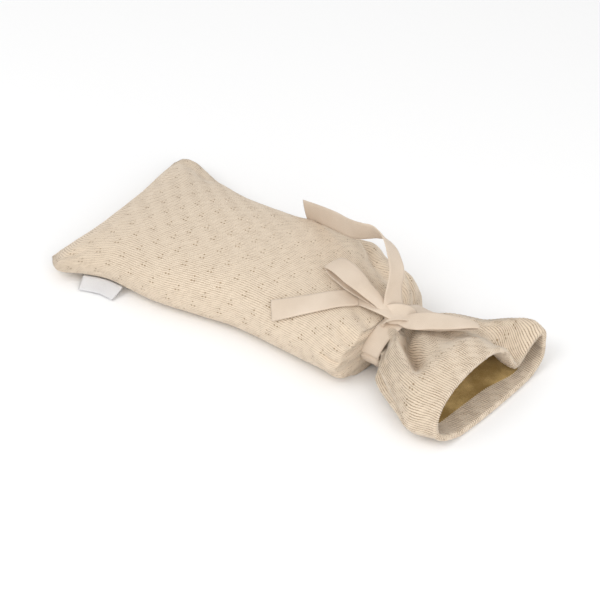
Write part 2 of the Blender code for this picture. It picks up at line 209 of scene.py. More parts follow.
def bag_points(along, girth, depth=0.0, creases=()):
    """Points of the bag at a depth under its outer face, as an array in millimetres."""
    along, girth = np.broadcast_arrays(np.asarray(along, float), np.asarray(girth, float))
    near, far, crown, side, under, flat = between(along + depth * shoulder_pull(along))
    cosine, sine, half, tall, out = round_section(near, far, crown, side, under, girth)
    across = (far + near) / 2 - half * power(cosine, flat)
    up = side + tall * power(sine, flat)
    girth_length = math.pi * (half + (crown - under) / 2)
    lift = fold_height((*FOLDS, *creases), along, girth, girth_length)
    lift = lift + gather_height(along, girth) - depth
    across = across + out[0] * lift
    up = up + out[1] * lift
    off_middle = across / half
    end_pull = ease(1 - along / END_REACH)
    drawn = END_DRAWN_IN * (1 - np.minimum(off_middle ** 2, 1.0))
    shift = END_SHIFT + drawn - END_SKEW * off_middle
    lip_pull = ease((along - COVER_LENGTH + LIP_REACH) / LIP_REACH)
    lean = -LIP_LEAN * sine - LIP_SKEW * cosine
    neck_pull = np.exp(-((along - NECK_AT) / NECK_REACH) ** 2)
    neck_lean = NECK_LEAN * sine - NECK_SKEW * cosine
    x = along + end_pull * shift + lip_pull * lean + neck_pull * neck_lean
    return np.stack([x, across, np.maximum(up, depth)], axis=-1)


# Finer creases of the outer cloth, pressed between the folds.
CREASES = (
    Fold("pleat root by the knot", 268, 0.225, 286, 0.235, -3, 2.5),
    Fold("valley drawn in under the pleat", 284, 0.198, 305, 0.176, -4.2, 3),
    Fold("second valley", 286, 0.29, 314, 0.265, -3, 5),
    Fold("thin crease in the pleat", 280, 0.135, 306, 0.125, -1.2, 2.2),
    Fold("fold beside the slit", 278, 0.065, 300, 0.055, 2, 4),
    Fold("near flank crease", 282, 0.02, 318, 0.015, -2.5, 4),
    Fold("far flank crease", 284, 0.44, 322, 0.46, -2.5, 4.5),
    Fold("wrinkle under the bow", 242, 0.215, 264, 0.205, -2.2, 3),
    Fold("wrinkle behind the bow", 240, 0.29, 262, 0.275, -3, 3.2),
    Fold("near gather", 244, 0.045, 268, 0.04, -2.6, 2.6),
    Fold("near second gather", 246, 0.10, 268, 0.095, -2.6, 2.4),
    Fold("near third gather", 248, 0.155, 268, 0.15, -2.4, 2.4),
    Fold("near low gather", 244, -0.015, 268, -0.01, -2.6, 2.8),
    Fold("far low gather", 244, 0.50, 268, 0.49, -2.6, 2.8),
    Fold("far shoulder wrinkle", 240, 0.36, 264, 0.335, -3, 2.6),
    Fold("far shoulder second wrinkle", 244, 0.40, 266, 0.38, -3, 2.6),
    Fold("near shoulder second wrinkle", 246, 0.075, 264, 0.07, -1.5, 4),
    Fold("long soft crease", 204, 0.345, 240, 0.295, -1.2, 6),
    Fold("soft wave on the near side", 120, 0.04, 176, 0.03, -1.6, 10),
    Fold("soft wave on the top", 60, 0.30, 120, 0.27, 1.2, 16),
    Fold("near corner wrinkle", 4, 0.06, 26, 0.09, -1.5, 5),
    Fold("end wrinkle", 2, 0.19, 22, 0.20, -1.2, 6),
    Fold("end second wrinkle", 2, 0.31, 24, 0.32, -1.2, 6),
)

WALES_ROUND = 88
FRONT_WALES = 51
COURSES = 112
POINTS_A_WALE = 4
POINTS_A_COURSE = 4
NEAR_SEAM = -0.055
FAR_SEAM = 0.555
GIRTH_SAMPLES = 1600


def even_girths(first, last, count, pitch_at):
    """Girths from first to last, an even length of cloth apart at one place along the bag."""
    fine = np.linspace(first, last, GIRTH_SAMPLES)
    length = arc_lengths(bag_points(pitch_at, fine)[:, None, :])[:, 0]
    return np.interp(np.linspace(0, length[-1], count), length, fine)


def arc_lengths(points):
    """Lengths from the first row along each column of a grid of points."""
    steps = np.linalg.norm(np.diff(points, axis=0), axis=-1)
    return np.concatenate([np.zeros((1, points.shape[1])), np.cumsum(steps, axis=0)])


def even_rows(points, count):
    """The same grid with its rows set an even length of cloth apart along each column."""
    lengths = arc_lengths(points)
    rows = np.empty((count, points.shape[1], 3))
    for column in range(points.shape[1]):
        wanted = np.linspace(0, lengths[-1, column], count)
        for axis in range(3):
            rows[:, column, axis] = np.interp(wanted, lengths[:, column], points[:, column, axis])
    return rows


def cloth_mesh(name, points, uvs, around=False, inside_out=False):
    """A mesh of quads through a grid of points in millimetres, with its own UV map."""
    rows, columns = points.shape[:2]
    placed = (points - np.array([*ORIGIN, 0.0])) * MM
    low, left = np.meshgrid(np.arange(rows - 1), np.arange(columns - (not around)), indexing="ij")
    corners = [(low, left), (low, left + 1), (low + 1, left + 1), (low + 1, left)]
    if inside_out:
        corners.reverse()
    faces = np.stack([(row * columns + column % columns).ravel() for row, column in corners],
                     axis=1)
    mesh = bpy.data.meshes.new(name)
    mesh.vertices.add(rows * columns)
    mesh.vertices.foreach_set("co", placed.reshape(-1, 3).ravel())
    mesh.loops.add(faces.size)
    mesh.loops.foreach_set("vertex_index", faces.ravel())
    mesh.polygons.add(len(faces))
    mesh.polygons.foreach_set("loop_start", np.arange(len(faces)) * 4)
    layer = mesh.uv_layers.new(name="stitches")
    places = np.stack([uvs(*corner) for corner in corners], axis=2).reshape(-1, 2)
    layer.data.foreach_set("uv", places.ravel())
    mesh.update(calc_edges=True)
    mesh.validate()
    mesh.shade_smooth()
    return mesh


def show(name, mesh, material):
    """An object of that mesh in the scene."""
    piece = bpy.data.objects.new(name, mesh)
    bpy.context.scene.collection.objects.link(piece)
    mesh.materials.append(material)
    return piece


def feed(tree, socket, value):
    """Gives a node's socket another socket, a linear colour or a plain value."""
    if isinstance(value, bpy.types.NodeSocket):
        tree.links.new(value, socket)
    elif isinstance(value, tuple):
        socket.default_value = (*value, 1.0)
    else:
        socket.default_value = value


def add_sockets(tree, way, kind, *names):
    """Inputs or outputs of one kind on a group."""
    for name in names:
        tree.interface.new_socket(name, in_out=way, socket_type='NodeSocket' + kind)


class Maths:
    """Short words for the math nodes of a shader or geometry tree."""

    def __init__(self, tree):
        self.tree = tree

    def __call__(self, operation, *values):
        node = self.tree.nodes.new("ShaderNodeMath")
        node.operation = operation
        for socket, value in zip(node.inputs, values):
            feed(self.tree, socket, value)
        return node.outputs[0]

    def split(self, vector):
        node = self.tree.nodes.new("ShaderNodeSeparateXYZ")
        feed(self.tree, node.inputs[0], vector)
        return node.outputs

    def times(self, first, second):
        return self('MULTIPLY', first, second)

    def sine(self, value, turn):
        return self('SINE', self.times(value, turn))

    def line(self, value, base, gain):
        """The base plus the gain times the value."""
        return self('ADD', base, self.times(value, gain))

    def off_middle(self, value):
        """How far a value is from the middle of its whole step: 0 there, 1 at the step's ends."""
        away = self('SUBTRACT', self('FRACT', value), 0.5)
        return self.times(self('ABSOLUTE', away), 2.0)

    def soft_step(self, value, start, end):
        """A value brought to 0 before the start and to 1 past the end."""
        node = self.tree.nodes.new("ShaderNodeMapRange")
        node.interpolation_type = 'SMOOTHSTEP'
        feed(self.tree, node.inputs["Value"], value)
        node.inputs["From Min"].default_value = start
        node.inputs["From Max"].default_value = end
        return node.outputs["Result"]


# The repeat of the eyelets, charted in stitches: a motif every 3 wales and every 8 courses, each
# motif 3 courses further on than its neighbour, and the places of its holes within the motif. The
# collar has one row of them along its hem.
MOTIF_WALES = 3.0
Hole = namedtuple("Hole", "wale course")
HOLES = (Hole(0.0, 0.5), Hole(0.0, 1.45), Hole(1.0, 0.9))
WALE_MM = 3.45
COURSE_MM = 2.5
RIBS_A_WALE = 2.0
COURSES_A_CHART = 1.4
CHART_INPUTS = ("Motif Courses", "Motif Step", "First Course")
BODY_CHART = dict(zip(CHART_INPUTS, (8.0, 3.0, 0.0)))
COLLAR_CHART = dict(zip(CHART_INPUTS, (200.0, 0.0, 24.5)))


def eyelet_distance(maths, wale, course, chart):
    """How far a place is from the nearest hole, in millimetres."""
    half = maths.times(chart["Motif Courses"], 0.5)
    low = maths.times(half, -1.0)
    nearest = None
    for hole in HOLES:
        across = maths('SUBTRACT', wale, hole.wale)
        column = maths('ROUND', maths('DIVIDE', across, MOTIF_WALES))
        across = maths('SUBTRACT', across, maths.times(column, MOTIF_WALES))
        up = maths('SUBTRACT', maths('SUBTRACT', course, chart["First Course"]), hole.course)
        up = maths('SUBTRACT', up, maths.times(column, chart["Motif Step"]))
        up = maths('WRAP', up, half, low)
        squares = [maths('POWER', maths.times(away, size), 2.0)
                   for away, size in ((across, WALE_MM), (up, COURSE_MM))]
        far = maths('SQRT', maths('ADD', *squares))
        nearest = far if nearest is None else maths('MINIMUM', nearest, far)
    return nearest


def rib_height(maths, wale, course):
    """The raised knit from 0 to 1: two ribs to each wale, waved a little by its courses."""
    ribs = maths('COSINE', maths.times(wale, 2 * RIBS_A_WALE * math.pi))
    waves = maths.sine(course, 2 * math.pi)
    return maths.times(maths.line(ribs, base=0.5, gain=-0.5),
                       maths.line(waves, base=0.85, gain=0.15))


# The share of a stitch's height that sinks under the bag's own face.
RELIEF_LEVEL = 0.6


def knit_relief():
    """Geometry nodes that raise the stitches of the knit and sink its eyelets."""
    tree = bpy.data.node_groups.new("raised knit", 'GeometryNodeTree')
    add_sockets(tree, 'INPUT', 'Geometry', "Geometry")
    add_sockets(tree, 'INPUT', 'Float', "Stitch Height", "Eyelet Depth", "Eyelet Radius",
                *CHART_INPUTS)
    add_sockets(tree, 'INPUT', 'Material', "Material")
    add_sockets(tree, 'OUTPUT', 'Geometry', "Geometry")
    maths = Maths(tree)
    given = tree.nodes.new("NodeGroupInput")
    place = tree.nodes.new("GeometryNodeInputNamedAttribute")
    place.data_type = 'FLOAT_VECTOR'
    place.inputs["Name"].default_value = "stitches"
    wale, course, _ = maths.split(place.outputs["Attribute"])
    height = rib_height(maths, wale, course)
    raised = maths.times(maths('SUBTRACT', height, RELIEF_LEVEL), given.outputs["Stitch Height"])
    share = maths('DIVIDE', eyelet_distance(maths, wale, course, given.outputs),
                  given.outputs["Eyelet Radius"])
    pit = maths.times(maths.soft_step(share, 1.0, 0.4), given.outputs["Eyelet Depth"])
    normal = tree.nodes.new("GeometryNodeInputNormal")
    scale = tree.nodes.new("ShaderNodeVectorMath")
    scale.operation = 'SCALE'
    move = tree.nodes.new("GeometryNodeSetPosition")
    realize = tree.nodes.new("GeometryNodeRealizeInstances")
    finish = tree.nodes.new("GeometryNodeSetMaterial")
    result = tree.nodes.new("NodeGroupOutput")
    for source, socket in (
            (normal.outputs[0], scale.inputs[0]),
            (maths('SUBTRACT', raised, pit), scale.inputs["Scale"]),
            (given.outputs["Geometry"], move.inputs["Geometry"]),
            (scale.outputs[0], move.inputs["Offset"]),
            (move.outputs[0], realize.inputs[0]),
            (realize.outputs[0], finish.inputs["Geometry"]),
            (given.outputs["Material"], finish.inputs["Material"]),
            (finish.outputs[0], result.inputs[0])):
        tree.links.new(source, socket)
    return tree


def grown(piece, tree, values):
    """The piece with a geometry tree's result as its plain mesh."""
    modifier = piece.modifiers.new(tree.name, 'NODES')
    modifier.node_group = tree
    for item in tree.interface.items_tree:
        if item.in_out == 'INPUT' and item.name in values:
            modifier[item.identifier] = values[item.name]
    shown = piece.evaluated_get(bpy.context.evaluated_depsgraph_get())
    mesh = bpy.data.meshes.new_from_object(shown)
    piece.modifiers.clear()
    piece.data = mesh
    return piece


# How a stitch is drawn: the shares of its height in its two legs, its strands and the grooves
# beside it, and the strength of the groove between two wales, in depth and in painted shade.
LEG_HEIGHT = 0.7
STRANDS = 3
STRAND_HEIGHT = 0.05
GROOVE_DEPTH = 0.4
COARSE_GROOVE = 0.9


def knit_pattern():
    """Shader group: the knit's height, its painted gap shade and its eyelets, from the stitch map.
    """
    tree = bpy.data.node_groups.new("knit pattern", 'ShaderNodeTree')
    add_sockets(tree, 'INPUT', 'Vector', "Stitches")
    add_sockets(tree, 'INPUT', 'Float', "Hole Radius", "Fine Ribs", *CHART_INPUTS)
    add_sockets(tree, 'OUTPUT', 'Float', "Height", "Gap Shade", "Hole")
    maths = Maths(tree)
    given = tree.nodes.new("NodeGroupInput")
    result = tree.nodes.new("NodeGroupOutput")
    wale, course, _ = maths.split(given.outputs["Stitches"])
    fine_wale = maths.times(wale, RIBS_A_WALE)
    odd = maths('MODULO', maths('FLOOR', fine_wale), 2.0)
    fine_course = maths('ADD', maths.times(course, COURSES_A_CHART), maths.times(odd, 0.5))
    side = maths.off_middle(fine_wale)
    leg = maths.sine(side, math.pi)
    rib = maths('ADD', maths.times(leg, LEG_HEIGHT),
                maths.times(maths('SUBTRACT', 1.0, side), 1 - LEG_HEIGHT))
    phase = maths('FRACT', maths('SUBTRACT', fine_course, maths.times(side, 0.5)))
    bow = maths.sine(phase, math.pi)
    stitches = maths.times(rib, maths.line(bow, base=0.4, gain=0.6))
    strands = maths.sine(fine_course, 2 * STRANDS * math.pi)
    # The grooves are sunk in the bump and hold painted shade in the colour.
    coarse = maths.times(maths.soft_step(maths.off_middle(wale), 0.66, 0.98), COARSE_GROOVE)
    fine = maths.times(maths.soft_step(side, 0.45, 0.98), given.outputs["Fine Ribs"])
    groove = maths('MAXIMUM', coarse, fine)
    distance = eyelet_distance(maths, wale, course, given.outputs)
    hole = maths.soft_step(maths('DIVIDE', distance, given.outputs["Hole Radius"]), 1.0, 0.45)
    stitch = tree.nodes.new("ShaderNodeCombineXYZ")
    feed(tree, stitch.inputs[0], maths('FLOOR', maths('ADD', wale, 0.5)))
    feed(tree, stitch.inputs[1], maths('FLOOR', fine_course))
    chance = tree.nodes.new("ShaderNodeTexWhiteNoise")
    chance.noise_dimensions = '2D'
    tree.links.new(stitch.outputs[0], chance.inputs["Vector"])
    dotted = maths.times(maths.line(bow, base=1.0, gain=-0.65),
                         maths.line(chance.outputs["Value"], base=0.45, gain=0.9))
    raised = maths.line(strands, base=stitches, gain=STRAND_HEIGHT)
    feed(tree, result.inputs["Height"], maths.line(groove, base=raised, gain=-GROOVE_DEPTH))
    # How much painted shade the grooves take, dotted from stitch to stitch.
    feed(tree, result.inputs["Gap Shade"], maths.times(groove, dotted))
    feed(tree, result.inputs["Hole"], hole)
    return tree


MOTTLE_SCALE = 38.0


def fibre_noise():
    """Shader group: fine fuzz and slow mottling over a cloth."""
    tree = bpy.data.node_groups.new("cloth fibres", 'ShaderNodeTree')
    add_sockets(tree, 'INPUT', 'Vector', "Place")
    add_sockets(tree, 'INPUT', 'Float', "Fibre Scale")
    add_sockets(tree, 'OUTPUT', 'Float', "Fibres", "Mottle")
    given = tree.nodes.new("NodeGroupInput")
    result = tree.nodes.new("NodeGroupOutput")
    for name, scale, roughness in (
            ("Fibres", given.outputs["Fibre Scale"], 0.7), ("Mottle", MOTTLE_SCALE, 0.5)):
        noise = tree.nodes.new("ShaderNodeTexNoise")
        noise.inputs["Detail"].default_value = 3.0
        noise.inputs["Roughness"].default_value = roughness
        tree.links.new(given.outputs["Place"], noise.inputs["Vector"])
        feed(tree, noise.inputs["Scale"], scale)
        tree.links.new(noise.outputs[0], result.inputs[name])
    return tree


KNIT_PATTERN = knit_pattern()
CLOTH_FIBRES = fibre_noise()


def new_cloth(name, fibre_scale, roughness, sheen, sheen_roughness):
    """A cloth's material and its tree, shader, place on the object and fibres."""
    material = bpy.data.materials.new(name)
    material.use_nodes = True
    tree = material.node_tree
    shader = tree.nodes["Principled BSDF"]
    shader.inputs["Roughness"].default_value = roughness
    shader.inputs["Specular IOR Level"].default_value = 0.25
    shader.inputs["Sheen Weight"].default_value = sheen
    shader.inputs["Sheen Roughness"].default_value = sheen_roughness
    place = tree.nodes.new("ShaderNodeTexCoord")
    fibres = group_node(tree, CLOTH_FIBRES, Place=place.outputs["Object"], Fibre_Scale=fibre_scale)
    return material, tree, shader, place, fibres


def group_node(tree, group, **values):
    """A node of that shader group with its inputs fed: an underscore stands for a space."""
    node = tree.nodes.new("ShaderNodeGroup")
    node.node_tree = group
    for name, value in values.items():
        feed(tree, node.inputs[name.replace("_", " ")], value)
    return node


def mixed(tree, factor, first, second):
    """A colour between two, each a socket or a linear colour."""
    node = tree.nodes.new("ShaderNodeMix")
    node.data_type = 'RGBA'
    node.clamp_factor = True
    for index, value in ((0, factor), (6, first), (7, second)):
        feed(tree, node.inputs[index], value)
    return node.outputs[2]


def bumped(tree, height, distance, strength, normal=None):
    """A normal bumped by a height, on top of another normal where one is given."""
    node = tree.nodes.new("ShaderNodeBump")
    node.inputs["Distance"].default_value = distance
    node.inputs["Strength"].default_value = strength
    tree.links.new(height, node.inputs["Height"])
    if normal is not None:
        tree.links.new(normal, node.inputs["Normal"])
    return node.outputs[0]


KNIT_LIGHT = (0.865, 0.727, 0.568)
KNIT_DARK = (0.805, 0.664, 0.508)
# Painted shade for the grooves between the ribs.
KNIT_GAP_SHADE = (0.360, 0.240, 0.140)
# The lining's brown seen through an eyelet, darkened with painted shade.
KNIT_HOLE_SHADE = (0.420, 0.300, 0.185)


def knit_material(name, chart, fine_ribs, hole_radius):
    """Matte cotton knit: light yarn, painted shade in the gaps between its ribs, and its holes:
    the lining's brown seen through them, with painted shade.
    """
    material, tree, shader, place, fibres = new_cloth(
        name, fibre_scale=2600.0, roughness=0.92, sheen=0.25, sheen_roughness=0.5)
    maths = Maths(tree)
    pattern = group_node(tree, KNIT_PATTERN, Stitches=place.outputs["UV"],
                         Hole_Radius=hole_radius, Fine_Ribs=fine_ribs, **chart)
    mottle = fibres.outputs["Mottle"]
    base = mixed(tree, mottle, KNIT_DARK, KNIT_LIGHT)
    fuzz = mixed(tree, maths.soft_step(fibres.outputs["Fibres"], 0.3, 0.7), base, KNIT_LIGHT)
    uneven = maths.line(maths.soft_step(mottle, 0.35, 0.65), base=0.84, gain=0.16)
    # Painted shade in the grooves between the ribs, its strength uneven with the mottle.
    shaded_gaps = mixed(tree, maths.times(pattern.outputs["Gap Shade"], uneven), fuzz, KNIT_GAP_SHADE)
    # Painted shade in the eyelets, over the lining's own brown that shows through them.
    shaded_holes = maths.times(pattern.outputs["Hole"], maths('ADD', uneven, 0.2))
    colour = mixed(tree, shaded_holes, shaded_gaps, KNIT_HOLE_SHADE)
    tree.links.new(colour, shader.inputs["Base Color"])
    stitches = bumped(tree, pattern.outputs["Height"], distance=0.6 * MM, strength=0.6)
    fuzzy = bumped(tree, fibres.outputs["Fibres"], 0.4 * MM, 0.35, stitches)
    tree.links.new(fuzzy, shader.inputs["Normal"])
    return material


# The fine ribs set both the depth of the fine grooves and the painted shade in them.
BODY_KNIT = knit_material("cotton knit", BODY_CHART, fine_ribs=0.95, hole_radius=0.8)
COLLAR_KNIT = knit_material("cotton knit of the collar", COLLAR_CHART, fine_ribs=1.7,
                            hole_radius=1.0)
KNIT_RELIEF = knit_relief()
RELIEF = {"Stitch Height": 0.45 * MM, "Eyelet Depth": 0.5 * MM, "Eyelet Radius": 1.0}


def uneven_stitches(wale, course):
    """The stitch map of a machine's knit, its wales wandering a little from course to course."""
    wander = 0.05 * np.sin(2 * math.pi * (course / 9.0 + 0.21 * wale))
    wander = wander + 0.035 * np.sin(2 * math.pi * (course / 3.7 - 0.37 * wale))
    drift = 0.12 * np.sin(2 * math.pi * (wale / 7.0 + course / 31.0))
    return np.stack([wale + wander, course + drift], axis=-1)


BODY_PITCH_AT = 160.0
SEAM_HEIGHT = 9.0
SEAM_PAST_END = 1.2
SEAM_ROUNDED = 64.0
SEAM_SHARE = 0.96
SHOULDER_AT = 240.0


def body_panel(name, first_girth, last_girth, wales, first_wale, points_a_course):
    """A body panel from the seam of the closed end to the tied neck."""
    girths = even_girths(first_girth, last_girth, wales * POINTS_A_WALE + 1, BODY_PITCH_AT)
    alongs = np.concatenate([np.linspace(0, SHOULDER_AT, 500),
                             np.linspace(SHOULDER_AT + 0.2, NECK_AT, 200)])
    points = bag_points(alongs[:, None], girths[None, :], creases=CREASES)
    seam = points[0].copy()
    seam[:, 0] -= SEAM_PAST_END * (1 - (seam[:, 1] / SEAM_ROUNDED) ** 6)
    seam[:, 1] *= SEAM_SHARE
    seam[:, 2] = SEAM_HEIGHT
    points = even_rows(np.concatenate([seam[None], points]), COURSES * points_a_course + 1)

    def uvs(row, column):
        return uneven_stitches(first_wale + column / POINTS_A_WALE, row / points_a_course)

    piece = show(name, cloth_mesh(name, points, uvs, inside_out=True), BODY_KNIT)
    return grown(piece, KNIT_RELIEF, {**RELIEF, **BODY_CHART, "Material": BODY_KNIT})


front = body_panel("knit_front", NEAR_SEAM, FAR_SEAM, FRONT_WALES, 0, POINTS_A_COURSE)
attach(front, "root")
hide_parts("knit_cover")

# ---- Back of the bag ----
# The under half of the body, the same knit, lying flat on the surface along its middle.

BACK_POINTS_A_COURSE = 2

back = body_panel("knit_back", FAR_SEAM, 1 + NEAR_SEAM, WALES_ROUND - FRONT_WALES, FRONT_WALES,
                  BACK_POINTS_A_COURSE)
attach(back, "root")
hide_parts("knit_cover")

# ---- Collar and hem ----
# The same knit goes on through the tied neck, opens into the collar and turns in at the mouth as
# a sewn hem, its edge meeting the lining inside.

HEM_WALL = 5.0
HEM_DEPTH = 15.0
HEM_DRAWN = 6.5
HEM_DRAWN_AT = 0.67
HEM_DRAWN_REACH = 0.055
HEM_ROLL = 1.6
COLLAR_UNDER_TIE = 4
COLLAR_COURSES = 42
COLLAR_PITCH_AT = 336.0
COLLAR_STITCH_HEIGHT = 0.9


def hem_depth(girths):
    """How far the hem reaches in: its edge is drawn towards the rim low on the far side."""
    return HEM_DEPTH - HEM_DRAWN * np.exp(-((girths - HEM_DRAWN_AT) / HEM_DRAWN_REACH) ** 2)


def collar():
    """One sheet from the tie out to the mouth, round its edge and back in as the hem."""
    girths = even_girths(NEAR_SEAM, 1 + NEAR_SEAM, WALES_ROUND * POINTS_A_WALE + 1,
                         COLLAR_PITCH_AT)[:-1]
    alongs = np.linspace(NECK_AT - COLLAR_UNDER_TIE, COVER_LENGTH, 260)
    outer = bag_points(alongs[:, None], girths[None, :], creases=CREASES)
    roll = [bag_points(COVER_LENGTH + HEM_ROLL * math.sin(angle), girths,
                       HEM_WALL / 2 * (1 - math.cos(angle)), creases=CREASES)
            for angle in np.linspace(0, math.pi, 9)[1:-1]]
    shares = np.linspace(0, 1, 30)[:, None]
    inner = bag_points(COVER_LENGTH - hem_depth(girths % 1)[None, :] * shares,
                       girths[None, :], HEM_WALL, creases=CREASES)
    points = np.concatenate([outer, np.stack(roll), inner])
    points = even_rows(points, COLLAR_COURSES * POINTS_A_COURSE + 1)

    def uvs(row, column):
        return uneven_stitches(column / POINTS_A_WALE, row / POINTS_A_COURSE)

    piece = show("knit_collar", cloth_mesh("knit_collar", points, uvs, True, True), COLLAR_KNIT)
    return grown(piece, KNIT_RELIEF, {
        **RELIEF, **COLLAR_CHART, "Stitch Height": COLLAR_STITCH_HEIGHT * MM,
        "Material": COLLAR_KNIT})


collar_piece = collar()
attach(collar_piece, "root")
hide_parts("knit_cover")

# ---- Lining ----
# A loose inner bag of short-piled olive velvet, sewn to the edge of the hem. It shows inside the
# mouth, where it lies in soft troughs down to the throat.

KNIT_WALL = 2.5
LINING_WALL = 1.2
LINING_CLEARANCE = 0.9
LINING_LOOSE = 2.6
COLLAR_LOOSE = 1.0
LINING_END = 13.0
LINING_END_LOOSE = 1.5
LINING_FROM_HEM = 1.0
LINING_UNDER_HEM = 1.4
LINING_GIRTHS = 144
LINING_CLOSING = (0.0, 0.35, 0.7)
LINING_COLUMN = 2.1
LINING_ROW = 2.6
SHOULDER_RUN = 25.0
# The lining's end is drawn in to these shares of the cover's length, width and height there, and
# its inner face by a wall more.
LINING_DRAWN_UNTIL = 24.0
LINING_DRAWN_RUN = 30.0
LINING_DRAWN = np.array([1.0, 0.88, 0.5])
END_HALVES = np.array([math.inf, 80.0, 12.0])
LINING_DARK = (0.300, 0.190, 0.060)
LINING_LIGHT = (0.640, 0.450, 0.190)
TROUGHS = (
    Fold("trough to the throat", 288, 0.70, 336, 0.66, 2.2, 7),
    Fold("valley drawn in under the pleat", 284, 0.198, 305, 0.176, -4.2, 3),
    Fold("crease under the rim", 322, 0.60, 338, 0.72, -1.5, 2.5),
    Fold("crease along the floor", 312, 0.74, 340, 0.80, 3, 2.5),
    Fold("trough on the near floor", 292, 0.85, 336, 0.88, 1.8, 6),
    Fold("ridge on the far wall", 296, 0.52, 336, 0.50, -1.8, 6),
    Fold("ridge under the arch", 296, 0.20, 336, 0.16, -1.6, 7),
    Fold("trough under the dent", 300, 0.36, 336, 0.38, 1.4, 6),
    Fold("tuck on the far wall", 304, 0.60, 334, 0.52, -4, 2.2),
    Fold("tuck under the hem", 300, 0.66, 334, 0.60, 3, 3),
)


def lining_depth(along):
    """How far the lining hangs under the cover's outer face, loose in the bag and the collar."""
    mouth = COVER_LENGTH - HEM_DEPTH - LINING_FROM_HEM
    in_bag = 1 - ease((along - SHOULDER_FROM) / SHOULDER_RUN)
    in_collar = ease((along - NECK_AT) / TURN_IN) * ease((mouth - along) / TURN_OUT)
    at_end = ease(2 - along / LINING_END)
    loose = LINING_LOOSE * in_bag + COLLAR_LOOSE * in_collar + LINING_END_LOOSE * at_end
    return KNIT_WALL + LINING_CLEARANCE + loose


def velvet():
    """Short olive pile, lighter where it stands and darker where it is brushed."""
    material, tree, shader, _, fibres = new_cloth(
        "olive velvet", fibre_scale=1800.0, roughness=0.85, sheen=0.9, sheen_roughness=0.35)
    shader.inputs["Sheen Tint"].default_value = (0.75, 0.60, 0.38, 1.0)
    maths = Maths(tree)
    pile = maths('ADD', maths.times(fibres.outputs["Fibres"], 0.3),
                 maths.times(fibres.outputs["Mottle"], 0.7))
    colour = mixed(tree, maths.soft_step(pile, 0.4, 0.6), LINING_DARK, LINING_LIGHT)
    tree.links.new(colour, shader.inputs["Base Color"])
    piled = bumped(tree, fibres.outputs["Fibres"], distance=0.5 * MM, strength=0.5)
    tree.links.new(piled, shader.inputs["Normal"])
    return material


def lining():
    """The lining's outer and inner face from the hem to its closed end, as one closed bag."""
    girths = np.arange(LINING_GIRTHS) / LINING_GIRTHS
    mouths = COVER_LENGTH - hem_depth(girths) - LINING_FROM_HEM + LINING_UNDER_HEM
    in_bag = np.linspace(LINING_END, SHOULDER_FROM, 60)[:, None] + 0 * girths
    in_collar = SHOULDER_AT + np.linspace(0, 1, 64)[:, None] * (mouths - SHOULDER_AT)
    alongs = np.concatenate([in_bag, in_collar])
    outer = bag_points(alongs, girths[None, :])
    middle = outer.mean(axis=1, keepdims=True)
    at_end = 1 - ease((alongs - LINING_DRAWN_UNTIL) / LINING_DRAWN_RUN)[..., None]
    layers = []
    for wall in (0.0, LINING_WALL):
        hung = bag_points(alongs, girths[None, :], lining_depth(alongs) + wall, creases=TROUGHS)
        drawn = middle + (outer - middle) * (LINING_DRAWN - wall / END_HALVES)
        layers.append(hung + (drawn - hung) * at_end)
    centre = layers[0][0].mean(axis=0)
    first, last = ([centre + (layer[0] - centre) * share for share in LINING_CLOSING]
                   for layer in layers)
    points = np.concatenate([first, layers[0], layers[1][::-1], last[::-1]])

    def uvs(row, column):
        return np.stack([column * LINING_COLUMN, row * LINING_ROW], axis=-1)

    mesh = cloth_mesh("lining_velvet", points, uvs, around=True, inside_out=True)
    return show("lining_velvet", mesh, velvet())


lining_piece = lining()
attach(lining_piece, "root")
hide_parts("lining")

# ---- Ribbon ----
# One flat cotton tape with a fine slanting weave, led round the neck and tied on top in a bow:
# two loops, a short tail to the near side and a long one over the far side.

TAPE_WIDTH = 15.8
TAPE_THICKNESS = 1.0
TAPE_LIGHT = (0.760, 0.640, 0.520)
TAPE_DARK = (0.650, 0.532, 0.415)

# Routes by their stops: a place along, across and up, then the direction of the tape's width.
LEFT_LOOP = (
    (270, -3, 42.5, 0.1, 1, 0.1),
    (263, -4, 45, 0.1, 1, 0.1),
    (256, -5, 50.6, 0.06, 1, 0.12),
    (246, -6.5, 57, 0.03, 1, 0.15),
    (236, -4.2, 58.8, 0.02, 1, 0.2),
    (227, -1.2, 59, 0.08, 1, 0.2),
    (218, 1.5, 58.6, 0.18, 1, 0.18),
    (211, 3.5, 56.6, 0.25, 1, 0.12),
    (209.5, 4.5, 53.8, 0.18, 1, 0.05),
    (215, 2.5, 51.2, 0, 1, 0),
    (225, 0.5, 50, -0.05, 1, 0),
    (238, -2.5, 49.4, 0.05, 1, 0),
    (249, -4, 48.4, 0.1, 1, 0),
    (269, -3, 43.5, 0.1, 1, 0),
)
RIGHT_LOOP = (
    (272, -3, 41, 0.58, -0.78, -0.1),
    (280, -2.5, 42, 0.58, -0.78, -0.2),
    (287.5, -1.5, 44.8, 0.58, -0.78, -0.2),
    (296, 2, 47.2, 0.58, -0.78, -0.2),
    (304, 6.5, 48, 0.58, -0.78, -0.15),
    (311, 12.3, 48, 0.57, -0.77, -0.1),
    (317, 18.6, 47.9, 0.56, -0.76, -0.1),
    (321.3, 23.7, 46.8, 0.56, -0.76, -0.1),
    (321.6, 24.2, 45.2, 0.56, -0.76, -0.1),
    (316, 20, 44.4, 0.56, -0.76, -0.1),
    (307, 13.4, 44, 0.57, -0.77, -0.1),
    (298.5, 6.6, 43.2, 0.58, -0.78, -0.1),
    (287, 0, 41.8, 0.58, -0.78, -0.15),
    (274, -2, 40.6, 0.58, -0.78, -0.1),
)
